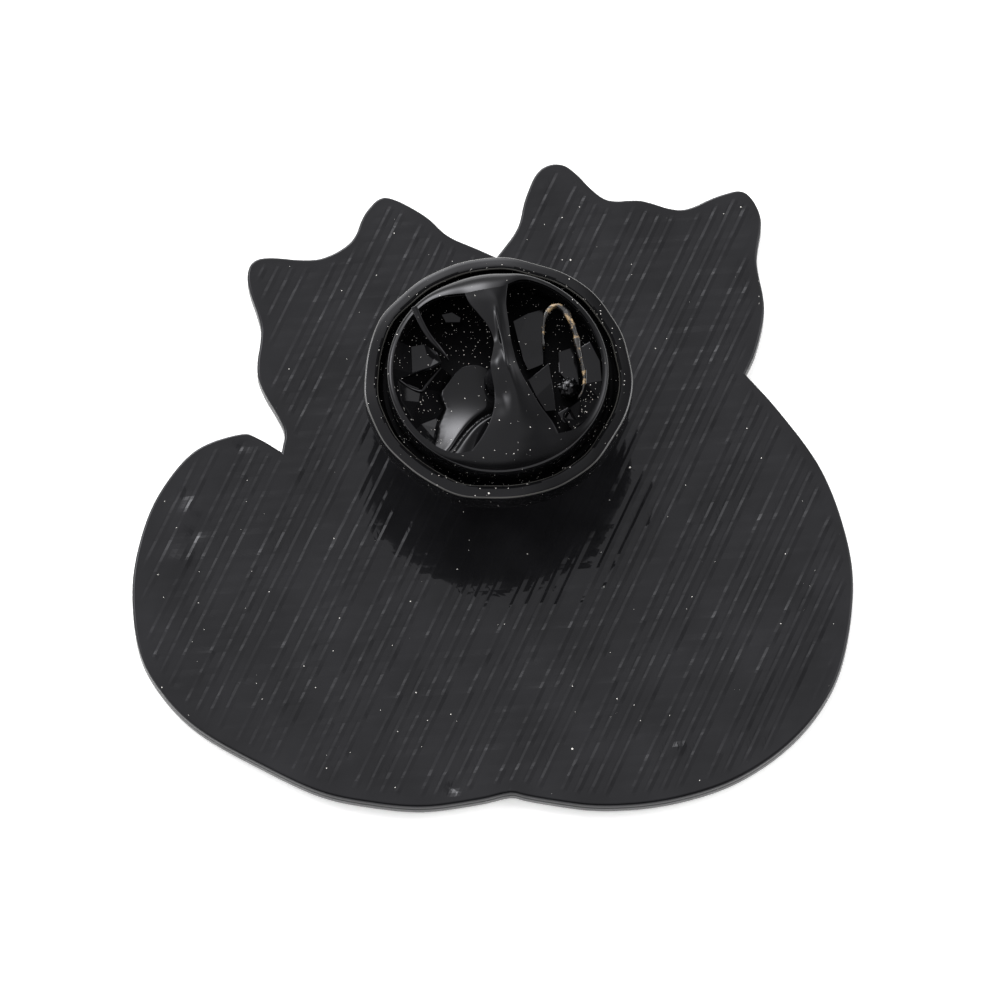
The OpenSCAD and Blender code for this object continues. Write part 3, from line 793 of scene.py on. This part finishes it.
def spring_sheet():
    """The outer face of the spring: ring and bridge in one net. Returns a Shape and its rows."""
    shape = Shape()
    cols = BRIDGE_COLS
    near = np.linspace(NEAR[0], NEAR[1], cols)
    far = np.linspace(FAR[0], FAR[1], cols)
    right = np.arange(NEAR[1], FAR[1], 1.5)[1:]
    left = np.arange(FAR[0], 360 + NEAR[0], 1.5)[1:]
    angles = np.concatenate([near, right, far[::-1], left])
    r_in, z_in = ring_edge(angles)
    rings = []
    # the flange runs only under the two ends of the bridge, so the wings can lift clear of the cup's rim
    rad = np.radians(angles)
    foot = smoothstep(np.abs(np.sin(rad)), 0.80, 0.88)
    for r, z, keep_z in [(5.26, 0.86, 0.95), (5.26, 0.66, 0.75), (4.86, 0.66, 0.75), (4.74, 0.74, 0.80)]:
        edge_r = RING_R + (r - RING_R) * foot
        rings.append(list(zip(edge_r, keep_z + (z - keep_z) * foot)))
    for z in (1.0, 1.35, 1.7):
        rings.append([(RING_R, z)] * len(angles))
    # crown: a quarter turn whose radius grows with the width of the ring's top
    reach = np.clip(RING_R - r_in, *CROWN_REACH)
    rise = reach * CROWN_RISE
    for k in range(CROWN_STEPS):
        q = CROWN_TURN * k / (CROWN_STEPS - 1)
        r = RING_R - reach * (1 - math.cos(q)) / (1 - math.cos(CROWN_TURN))
        rings.append(list(zip(r, z_in - rise * (math.sin(CROWN_TURN) - math.sin(q)))))
    for share in (0.5, 1.0):
        rings.append(list(zip((RING_R - reach) * (1 - share) + r_in * share, z_in)))
    ids = []
    for ring in rings:
        ids.append(shape.add([(r * math.cos(a), r * math.sin(a), z) for (r, z), a in zip(ring, rad)]))
    shape.walls(ids)
    # bridge: rows from the near inner edge to the far inner edge
    edge = ids[-1]
    near_row = [edge[i] for i in range(cols)]
    start = cols + len(right)
    far_row = [edge[start + cols - 1 - i] for i in range(cols)]
    net = np.array(BRIDGE_NET, float)
    pick = np.linspace(0, cols - 1, 5).astype(int)
    first = np.array([[shape.v[near_row[k]] for k in pick]])
    last = np.array([[shape.v[far_row[k]] for k in pick]])
    full = np.concatenate([first, net, last])
    rows = BRIDGE_ROWS
    surface = net_surface(full, rows, cols)
    previous = near_row
    for k in range(1, rows - 1):
        row = surface[k]
        # ease onto the ring's own edge at both ends
        share = k / (rows - 1)
        end = np.array([shape.v[i] for i in (near_row if share < 0.5 else far_row)])
        target = surface[0] if share < 0.5 else surface[-1]
        pull = 1 - smoothstep(min(share, 1 - share), 0, 0.1)
        row = row + (end - target) * pull
        away = np.abs(row[:, 0] - np.interp(row[:, 1], STREAK[:, 1], STREAK[:, 0]))
        fade = smoothstep(row[:, 1], STREAK[0, 1], STREAK[0, 1] + 0.5)
        fade = fade * smoothstep(-row[:, 1], -STREAK[-1, 1], 0.5 - STREAK[-1, 1])
        row[:, 2] += 0.035 * fade * np.exp(-(away / 0.055) ** 2)
        current = shape.add(row)
        shape.strip(previous, current)
        previous = current
    shape.strip(previous, far_row)
    return shape


def thicken(obj, thickness_mm, edge_mm=0.02):
    """Gives a sheet its thickness with rounded edges, and applies it."""
    solid = obj.modifiers.new("thickness", "SOLIDIFY")
    solid.thickness = thickness_mm * MM
    solid.offset = -1
    solid.use_even_offset = False
    bevel = obj.modifiers.new("edges", "BEVEL")
    bevel.width = edge_mm * MM
    bevel.segments = 2
    bevel.limit_method = "ANGLE"
    bevel.angle_limit = math.radians(50)
    bpy.context.view_layer.update()
    graph = bpy.context.evaluated_depsgraph_get()
    mesh = bpy.data.meshes.new_from_object(obj.evaluated_get(graph))
    mesh.name = obj.name
    obj.modifiers.clear()
    old = obj.data
    obj.data = mesh
    bpy.data.meshes.remove(old)
    return obj


PAINTED_SHADE_BELOW = 1.5  # the spring gets painted shade up to this height above the cup's underside


def split_at(obj, x_mm, left_name, right_name):
    """Cuts a mesh into two pieces either side of x, keeping the shading normals of the whole."""
    mesh = obj.data
    smooth = [tuple(n.vector) for n in mesh.vertex_normals]
    halves = []
    for name, side in ((left_name, -1), (right_name, 1)):
        faces = [p.vertices[:] for p in mesh.polygons if (p.center.x / MM - x_mm) * side > 0]
        used = sorted({i for f in faces for i in f})
        new_id = {old: k for k, old in enumerate(used)}
        half = bpy.data.meshes.new(name)
        half.from_pydata([mesh.vertices[i].co[:] for i in used], [], [[new_id[i] for i in f] for f in faces])
        half.update()
        shade(half)
        half.normals_split_custom_set_from_vertices([smooth[i] for i in used])
        half.materials.append(CLUTCH_BLACK)
        half.materials.append(INSIDE_PAINTED_SHADE)
        # faces low in the cup get the painted shade
        for poly in half.polygons:
            poly.material_index = int(poly.center.z / MM < CUP_Z + PAINTED_SHADE_BELOW)
        halves.append(linked(name, half))
    bpy.data.objects.remove(obj)
    bpy.data.meshes.remove(mesh)
    return halves


WINGS = {-1: "left_wing", 1: "right_wing"}


def flex(obj, nodes):
    """Half of the spring's shell, fixed where it stands, with the CAD nodes it replaces hidden."""
    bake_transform(obj)
    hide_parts(*nodes)


def on_wing(obj, side):
    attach(obj, WINGS[side])
    return obj


SPRING_THICK, SPRING_EDGE = 0.20, 0.045  # its sheet, and the rounding of its edges
SPLIT_X = 0.2  # where the shell's left and right halves meet
shape = spring_sheet()
shape.v = [(x, y, z + CUP_Z) for x, y, z in shape.v]
spring = shape.build("spring", CLUTCH_BLACK)
turn_faces(spring)
thicken(spring, SPRING_THICK, SPRING_EDGE)
spring_left, spring_right = split_at(spring, SPLIT_X, "spring_left", "spring_right")
flex(spring_left, ["spring_bridge", "left_wing"])
flex(spring_right, ["right_wing"])


# -------- folded leaves inside the clutch

LEAF_THICK, JAW_THICK = 0.1, 0.12


def leaf(name, points, faces, side, material):
    """A leaf of the spring folded down inside the cup, as facets between named points above the cup's underside."""
    shape = Shape()
    names = list(points)
    shape.add([(points[k][0], points[k][1], points[k][2] + CUP_Z) for k in names])
    for f in faces.split():
        shape.f.append(tuple(names.index(k) for k in f))
    obj = shape.build(name, material)
    turn_faces(obj, up=True)
    shade(obj.data, smooth=False)
    thicken(obj, LEAF_THICK)
    return on_wing(obj, side)


LEFT_POINTS = dict(zip("abcdefghijklmnopqrstuvwxyz", [
    (-3.61, 2.59, 2.0), (-4.29, 1.55, 1.9), (-4.54, 0.23, 1.9), (-4.49, -0.9, 1.9),
    (-4.23, -1.84, 1.9), (-3.64, -2.87, 1.9), (-2.87, -3.57, 1.9), (-3.7, 1.46, 1.46),
    (-3.15, 1.56, 1.50), (-2.59, 1.18, 1.50), (-2.42, 0.71, 1.56), (-2.89, 0.45, 1.52),
    (-3.65, 0.21, 1.46), (-2.47, 0.71, 1.1), (-3.27, -0.25, 0.85), (-4.24, -0.19, 1.6),
    (-4.11, -1.11, 1.55), (-3.6, -1.95, 1.45), (-3.35, -0.91, 0.95), (-1.96, 0.55, 0.45),
    (-2.3, -0.2, 0.45), (-2.13, -0.82, 0.45), (-2.29, -2.02, 0.5), (-2.54, -2.72, 0.7),
    (-3.26, -2.09, 1.25), (-2.63, -1.6, 0.8)]))
RIGHT_POINTS = dict(zip("abcdefghijqrst", [
    (3.91, 1.53, 1.80), (4.33, 0.61, 1.80), (4.41, -0.33, 1.80), (4.32, -1.18, 1.85),
    (3.81, -2.12, 1.9), (3.17, -2.68, 1.9), (3.4, 1.2, 1.79), (3.74, 0.19, 1.79),
    (3.74, -0.45, 1.79), (3.48, -0.99, 1.3), (2.72, -0.96, 0.75), (3.06, -1.27, 1.1),
    (3.35, -1.97, 1.4), (2.76, -1.74, 1.1)]))
RIGHT_LOW = dict(zip("klmnop", [
    (2.17, 0.9, 1.0), (2.3, 0.03, 0.95), (2.46, -1.27, 0.9), (2.04, -1.36, 1.0),
    (1.61, -0.66, 1.0), (1.28, 0.1, 1.0)]))
GREY_PATCH = dict(zip("abcdefghijk", [
    (0.64, 2.94, 0.88), (1.28, 3.32, 0.88), (1.92, 3.51, 0.90), (1.96, 2.75, 0.91),
    (1.87, 1.99, 0.91), (1.92, 1.33, 0.9), (1.92, 0.9, 0.9), (1.62, 0.76, 0.89),
    (1.28, 0.62, 0.88), (1.11, 1.04, 0.88), (0.85, 1.99, 0.88)]))
BACK_PATCH = dict(zip("abcdef", [
    (2.56, 1.52, 0.8), (3.19, 1.75, 0.8), (3.41, 0.9, 0.8), (3.44, -0.04, 0.8),
    (3.15, -0.09, 0.8), (2.6, 0.57, 0.8)]))
RIGHT_CORNER = dict(zip("abcdef", [
    (2.54, -1.46, 1.0), (2.97, -1.2, 1.05), (3.13, -1.63, 1.0), (3.47, -2.07, 1.05),
    (3.21, -2.16, 0.95), (2.74, -1.82, 0.92)]))
LITTLE_PATCH = dict(zip("abcde", [
    (-2.43, 3.22, 0.95), (-1.96, 3.31, 1.0), (-1.58, 3.08, 0.95), (-1.62, 2.87, 0.9),
    (-2.22, 2.87, 0.88)]))

leaf("left_leaf_patch", LEFT_POINTS, "hmi iml ilj jlk", -1, LEAF_BLACK)
leaf("left_leaf_side", LEFT_POINTS, "poq qos qsr", -1, LEAF_BLACK)
leaf("left_leaf_corner", LEFT_POINTS, "ywx yxg fyg yzw", -1, LEAF_BLACK)
# the dark left leaf carries the painted shade
leaf("left_leaf_dark", LEFT_POINTS,
     "bch cmh cpm mpl lpn kln pno cdp dqp deq erq efr nou nut osu svu szv rfy rys syz zvw", -1, INSIDE_PAINTED_SHADE)
leaf("left_leaf_little", LITTLE_PATCH, "abe bcd bde", -1, LEAF_BLACK)
leaf("right_leaf_outer", RIGHT_POINTS, "agh ahb bhc hic", 1, LEAF_BLACK)
# the dark right leaf carries the painted shade
leaf("right_leaf_dark", RIGHT_POINTS, "cid ijd dje jse sfe jrs stf rqt", 1, INSIDE_PAINTED_SHADE)
leaf("right_leaf_corner", RIGHT_CORNER, "abf bcf cde cef", 1, LEAF_BLACK)
leaf("right_leaf_low", RIGHT_LOW, "klp lop lmo mno", 1, LEAF_BLACK)
leaf("right_leaf_inner", GREY_PATCH, "abk bck cdk dek ejk efj fgj ghj hij", 1, LEAF_BLACK)
leaf("right_leaf_back", BACK_PATCH, "abf bcf cdf def", 1, LEAF_BLACK)

# The large smooth jaw on the left: rows from its near end, above the cup's underside, and its rounded groove
JAW_NET = [
    [(-2.80, -3.03), (-2.12, -3.45), (-1.52, -3.64), (-0.85, -3.64)],
    [(-2.59, -2.21), (-1.95, -2.39), (-1.27, -2.49), (-0.34, -2.49)],
    [(-2.33, -1.17), (-1.74, -1.36), (-1.02, -1.36), (-0.04, -1.36)],
    [(-2.42, -0.47), (-1.78, -0.42), (-0.98, -0.32), (-0.04, -0.23)],
    [(-2.04, 0.24), (-1.53, 0.52), (-0.85, 0.62), (-0.25, 0.43)],
    [(-1.74, 0.57), (-1.36, 0.76), (-0.89, 0.81), (-0.55, 0.67)]]
JAW_GROOVE = [(-2.12, -3.61), (-1.82, -3.19), (-1.53, -2.68), (-1.14, -2.11), (-0.72, -1.69), (-0.17, -1.31)]
JAW_FLAT = np.array([-1.0, -0.6])  # where the jaw is level
JAW_STEEP = np.array([0.24, -0.22])  # its slope at the near left end
JAW_RUN = np.array([-1.5, -1.8])  # from the level place to the steep one
JAW_GROOVE_DEPTH = 0.17
JAW_TIP_R = 0.62  # the jaw stays at least this far from the axis of the post


def jaw_height(xy):
    """A shallow bowl side: level at one end and sloping up to the right at the other."""
    length = np.linalg.norm(JAW_RUN)
    run = JAW_RUN / length
    bend = np.outer(JAW_STEEP, run) + np.outer(run, JAW_STEEP) - (JAW_STEEP @ run) * np.outer(run, run)
    away = xy - JAW_FLAT
    return 0.9 + 0.5 * np.einsum("...i,ij,...j", away, bend / length, away)


def jaw():
    shape = Shape()
    rows, cols = 70, 46
    net = np.array([[(x, y, 0) for x, y in row] for row in JAW_NET])
    flat = net_surface(net, rows, cols)[..., :2]
    reach = np.maximum(np.linalg.norm(flat, axis=2, keepdims=True), 1e-6)
    flat = flat * np.maximum(1, JAW_TIP_R / reach)
    z = jaw_height(flat)
    line = curve_at([(x, y, 0) for x, y in JAW_GROOVE], np.linspace(0, 1, 60))[:, :2]
    away = flat.reshape(-1, 2)[:, None] - line[None]
    nearest = np.argmin((away ** 2).sum(2), 1)
    gap = away[np.arange(len(nearest)), nearest].reshape(rows, cols, 2)
    reach = np.linalg.norm(gap, axis=2) * np.sign(-0.82 * gap[..., 0] + 0.57 * gap[..., 1])
    z = z - JAW_GROOVE_DEPTH * np.exp(-((reach - 0.02) / 0.12) ** 2)
    past = np.maximum(-reach - 0.12, 0)
    z = z - 0.16 * past - 0.25 * past ** 2
    # the free edges are ragged and roll down
    share = np.linspace(0, 1, cols)[None, :]
    ragged = 0.06 * np.sin(flat[..., 1] * 4.3) + 0.02 * np.sin(flat[..., 1] * 19 + 1) * np.sin(flat[..., 1] * 7)
    flat[..., 0] += ragged * np.clip(1 - share * 5, 0, 1)
    z = z - 0.10 * np.clip(1 - share * 18, 0, 1) ** 2
    end = np.linspace(0, 1, rows)[:, None]
    z = z - 0.12 * np.clip((end - 0.95) * 20, 0, 1) ** 2
    grid = [shape.add(np.column_stack([flat[i], z[i] + CUP_Z])) for i in range(rows)]
    for a, b in zip(grid, grid[1:]):
        shape.strip(a, b)
    obj = shape.build("left_jaw", LEAF_BLACK)
    turn_faces(obj, up=True)
    thicken(obj, JAW_THICK)
    return on_wing(obj, -1)


def swept(name, path, width, height, material, side, lumps=0.0):
    """A rounded strip along a path of (x, y, z) points, with width and height given along it."""
    shape = Shape()
    steps = 60
    at = np.linspace(0, 1, steps)
    line = curve_at(path, at)
    w = np.interp(at, np.linspace(0, 1, len(width)), width)
    h = np.interp(at, np.linspace(0, 1, len(height)), height)
    turn = np.linspace(0, 2 * math.pi, 14, endpoint=False)
    rings = []
    for k, p in enumerate(line):
        t = line[min(k + 1, steps - 1)] - line[max(k - 1, 0)]
        t = t / np.linalg.norm(t)
        across = np.cross(t, (0, 0, 1))
        across /= np.linalg.norm(across)
        up = np.cross(across, t)
        end = math.sin(math.pi * min(1, max(0.08, min(k, steps - 1 - k) / 4)) / 2) if k in (0, steps - 1) else 1
        uneven = 1 + lumps * math.sin(k * 0.9) * math.sin(k * 0.37 + 1)
        rings.append(shape.add([
            p + (0, 0, CUP_Z) + across * (w[k] / 2 * end * uneven * np.sign(math.cos(a)) * abs(math.cos(a)) ** 0.7)
            + up * (h[k] / 2 * end * np.sign(math.sin(a)) * abs(math.sin(a)) ** 0.7) for a in turn]))
    shape.walls(rings)
    for ring in (rings[0], rings[-1]):
        shape.fan(ring)
    obj = shape.build(name, material)
    turn_faces(obj)
    return on_wing(obj, side)


def lump(name, place, radii, side):
    """A small lumpy bead of plating at the bottom of the clutch."""
    shape = Shape()
    rows, cols = 50, 80
    tilt, turn = np.meshgrid(np.linspace(0.04, math.pi - 0.04, rows),
                             np.linspace(0, 2 * math.pi, cols, endpoint=False), indexing="ij")
    d = np.stack([np.sin(tilt) * np.cos(turn), np.sin(tilt) * np.sin(turn), np.cos(tilt)], -1)
    bumps = rng.normal(size=(90, 3))
    bumps /= np.linalg.norm(bumps, axis=1)[:, None]
    grow = 0.84 + sum(0.15 * np.exp(-((d - b) ** 2).sum(-1) / 0.012) for b in bumps)
    points = d * np.array(radii) * grow[..., None] + np.array(place) + (0, 0, CUP_Z)
    grid = [shape.add(row) for row in points]
    shape.walls(grid)
    for ring in (grid[0], grid[-1]):
        shape.fan(ring)
    obj = shape.build(name, LEAF_BLACK)
    turn_faces(obj)
    return on_wing(obj, side)


jaw()
swept("left_bar", [(-3.59, 2.93, 2.33), (-3.45, 2.62, 2.32), (-3.28, 2.20, 2.30), (-3.04, 1.74, 2.26),
                   (-2.80, 1.40, 2.20), (-2.52, 1.10, 2.10), (-2.28, 0.85, 1.95), (-2.08, 0.62, 1.75)],
      [0.26, 0.28, 0.27, 0.25, 0.24, 0.2, 0.14, 0.08], [0.2, 0.2, 0.18, 0.14], LEAF_BLACK, -1)
swept("left_crease", [(-2.42, 0.64, 1.12), (-2.73, 0.27, 1.02), (-3.02, -0.1, 0.95), (-3.24, -0.36, 0.9),
                      (-3.66, -0.38, 1.15), (-4.0, -0.28, 1.42), (-4.22, -0.18, 1.6)],
      [0.12, 0.16, 0.15, 0.13, 0.10], [0.12, 0.12], LEAF_BLACK, -1)
swept("right_loop", [(1.95, 1.4, 1.35), (1.91, 1.95, 1.5), (1.98, 2.6, 1.7), (2.17, 3.02, 1.8), (2.51, 3.18, 1.85),
                     (2.85, 2.95, 1.85), (3.11, 2.43, 1.85), (3.32, 1.79, 1.8), (3.44, 1.15, 1.75),
                     (3.57, 0.54, 1.65), (3.69, -0.07, 1.55), (3.61, -0.61, 1.4), (3.4, -0.94, 1.2)],
      [0.10, 0.14, 0.18, 0.22, 0.26, 0.26, 0.22, 0.18, 0.14, 0.14], [0.3, 0.3, 0.3], WORN_BLACK, 1, lumps=0.35)
lump("right_bead", (3.00, -0.18, 0.82), (0.46, 0.52, 0.30), 1)


# -------- floor, light and camera

TABLE_HALF, TABLE_POINTS = 1500, 13  # half its side, and its grid points a side
TABLE_GAP = 0.01  # it lies this far below the badge


def floor():
    """A plain pale table under the badge's front."""
    shape = Shape()
    half, z, n = TABLE_HALF, FRONT_Z - TABLE_GAP, TABLE_POINTS
    grid = [[shape.add([((i / (n - 1) * 2 - 1) * half, (j / (n - 1) * 2 - 1) * half, z)])[0] for i in range(n)]
            for j in range(n)]
    for a, b in zip(grid, grid[1:]):
        shape.strip(a, b)
    m = Nodes("table")
    tone = m.scaled(m.noise(0.02, 3), 0.3, 0.7, 0, 1)
    material = m.finish(m.mix(tone, (0.93, 0.93, 0.93, 1), (0.95, 0.95, 0.95, 1)),
                        m.scaled(m.noise(0.5, 2), 0.3, 0.7, 0.55, 0.7), Specular_IOR_Level=0.3,
                        Emission_Color=(1, 1, 1, 1), Emission_Strength=0.35)
    shape.build("table", material)


def studio_world():
    """A pale studio: two soft lights behind on the left, one on the right, and darker right and near sides."""
    world = bpy.data.worlds.new("studio")
    world.use_nodes = True
    tree = world.node_tree

    def add(kind, inputs=None, **facts):
        return add_node(tree, kind, inputs, **facts)

    towards = add("ShaderNodeTexCoord").outputs["Generated"]
    axes = add("ShaderNodeSeparateXYZ", {"Vector": towards})
    right = add("ShaderNodeMapRange", {"Value": axes.outputs["X"], "From Min": 0.02, "From Max": 0.25,
                                       "To Min": ROOM_LIGHT, "To Max": ROOM_LIGHT * RIGHT_SHADE},
                interpolation_type="SMOOTHSTEP")
    light = right.outputs["Result"]
    for direction, power, strength in SOFTBOXES:
        facing = add("ShaderNodeVectorMath", {0: towards, 1: direction}, operation="DOT_PRODUCT").outputs["Value"]
        facing = add("ShaderNodeMath", {0: facing, 1: 0.0}, operation="MAXIMUM").outputs[0]
        lobe = add("ShaderNodeMath", {0: facing, 1: power}, operation="POWER").outputs[0]
        light = add("ShaderNodeMath", {0: lobe, 1: strength, 2: light}, operation="MULTIPLY_ADD").outputs[0]
    dark = add("ShaderNodeMapRange", {"Value": axes.outputs["Y"], "From Min": -0.45, "From Max": -0.85,
                                      "To Min": 1.0, "To Max": 0.07},
               interpolation_type="SMOOTHSTEP").outputs["Result"]
    strength = add("ShaderNodeMath", {0: light, 1: dark}, operation="MULTIPLY").outputs[0]
    background = tree.nodes["Background"]
    put(tree, background.inputs["Color"], (1.0, 1.0, 1.0, 1))
    put(tree, background.inputs["Strength"], strength)
    bpy.context.scene.world = world


# Direction, narrowness and strength of the soft lights
SOFTBOXES = [((-0.204, 0.761, 0.616), 48.0, 18.0), ((-0.663, 0.464, 0.588), 60.0, 13.0),
             ((0.800, 0.250, 0.545), 20.0, 6.0)]
ROOM_LIGHT = 1.2
RIGHT_SHADE = 0.38
floor()
studio_world()

ELEVATION = math.radians(65)
DISTANCE = 0.45
AIM = Vector((0.0000858, -0.0035008, 0.0))
LENS, SENSOR = 379.1, 36
camera = bpy.data.cameras.new("camera")
camera.lens = LENS
camera.sensor_width = SENSOR
camera.clip_start = 0.01
camera_object = linked("camera", camera)
camera_object.location = AIM + Vector((0, -math.cos(ELEVATION), math.sin(ELEVATION))) * DISTANCE
camera_object.rotation_euler = (AIM - camera_object.location).to_track_quat("-Z", "Y").to_euler()
bpy.context.scene.camera = camera_object
bpy.context.scene.view_settings.view_transform = "Standard"
bpy.context.scene.view_settings.look = "None"
